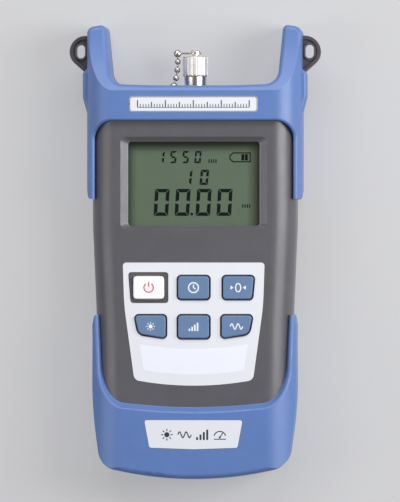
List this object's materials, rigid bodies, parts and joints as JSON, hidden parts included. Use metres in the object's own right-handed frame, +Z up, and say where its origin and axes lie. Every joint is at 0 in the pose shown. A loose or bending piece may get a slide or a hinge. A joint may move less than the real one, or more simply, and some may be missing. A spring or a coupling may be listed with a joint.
{
  "type": "optical power meter",
  "caption": "Handheld optical power meter for fibre lines: keypad, segment display and a capped ferrule adaptor between two guard horns, in a rubber jacket with strap lugs.",
  "frame": {"origin": "middle of the bounding box, on the plane that the meter's back rests on", "axes": "X across the face to the right, Y along the meter towards the fibre adaptor and the horns, Z up out of the face"},
  "size_m": [0.0974, 0.175, 0.0344],
  "materials": {
    "jacket_rubber": "satin",
    "housing_plastic": "matte",
    "lug_plastic": "gloss",
    "plated_steel": "satin",
    "white_plate": "satin",
    "clear_window": "gloss",
    "display_glass": "gloss",
    "white_plastic": "matte",
    "contact_rubber": "matte",
    "pale_plate": "satin",
    "key_rubber": "matte",
    "board": "satin",
    "nickel": "polished",
    "can_metal": "polished",
    "cell_sleeve": "satin",
    "white_key": "satin",
    "blue_key": "satin"
  },
  "bodies": {
    "housing": {"rubber_jacket": "jacket_rubber", "front_cover": "housing_plastic", "rear_cover": "housing_plastic", "strap_lug_left": "lug_plastic", "strap_lug_right": "lug_plastic", "housing_screws": "plated_steel", "title_plate": "white_plate", "foot_plate": "white_plate", "display_window": "clear_window", "display_cell": "display_glass", "display_light": "white_plastic", "display_strips": "contact_rubber", "keypad_overlay": "pale_plate", "keypad_mat": "key_rubber", "main_board": "board", "board_screws": "plated_steel", "battery_contacts": "plated_steel", "fibre_adaptor": "nickel", "adaptor_nut": "nickel", "photodetector": "can_metal", "anchor_tab": "nickel", "anchor_screw": "nickel", "bead_chain": "nickel", "battery_1": "cell_sleeve", "battery_2": "cell_sleeve", "battery_3": "cell_sleeve"},
    "swivel_tab": {"chain_tab": "nickel"},
    "cap": {"dust_cap": "nickel", "cap_rivet": "nickel"},
    "door": {"battery_door": "housing_plastic"},
    "key_power_body": {"key_power": "white_key"},
    "key_timer_body": {"key_timer": "blue_key"},
    "key_zero_body": {"key_zero": "blue_key"},
    "key_light_body": {"key_light": "blue_key"},
    "key_level_body": {"key_level": "blue_key"},
    "key_wave_body": {"key_wave": "blue_key"}
  },
  "joints": [
    {"name": "key_power_press", "type": "slide", "parent": "housing", "child": "key_power_body", "axis": [0, 0, -1], "range_m": [0, 0.0008], "stiffness_N_per_m": 500, "springref_m": -0.0003},
    {"name": "key_timer_press", "type": "slide", "parent": "housing", "child": "key_timer_body", "axis": [0, 0, -1], "range_m": [0, 0.0008], "stiffness_N_per_m": 500, "springref_m": -0.0003},
    {"name": "key_zero_press", "type": "slide", "parent": "housing", "child": "key_zero_body", "axis": [0, 0, -1], "range_m": [0, 0.0008], "stiffness_N_per_m": 500, "springref_m": -0.0003},
    {"name": "key_light_press", "type": "slide", "parent": "housing", "child": "key_light_body", "axis": [0, 0, -1], "range_m": [0, 0.0008], "stiffness_N_per_m": 500, "springref_m": -0.0003},
    {"name": "key_level_press", "type": "slide", "parent": "housing", "child": "key_level_body", "axis": [0, 0, -1], "range_m": [0, 0.0008], "stiffness_N_per_m": 500, "springref_m": -0.0003},
    {"name": "key_wave_press", "type": "slide", "parent": "housing", "child": "key_wave_body", "axis": [0, 0, -1], "range_m": [0, 0.0008], "stiffness_N_per_m": 500, "springref_m": -0.0003},
    {"name": "cap_pull", "type": "slide", "parent": "housing", "child": "swivel_tab", "axis": [0, 1, 0], "range_m": [0, 0.0105], "deforming": ["bead_chain"]},
    {"name": "cap_turn", "type": "hinge", "parent": "swivel_tab", "child": "cap", "pos_m": [0, 0.0757, 0.0172], "axis": [0, 1, 0], "continuous": true},
    {"name": "door_open", "type": "hinge", "parent": "housing", "child": "door", "pos_m": [0, -0.00005, 0.0022], "axis": [1, 0, 0], "range_deg": [0, 55]}
  ]
}
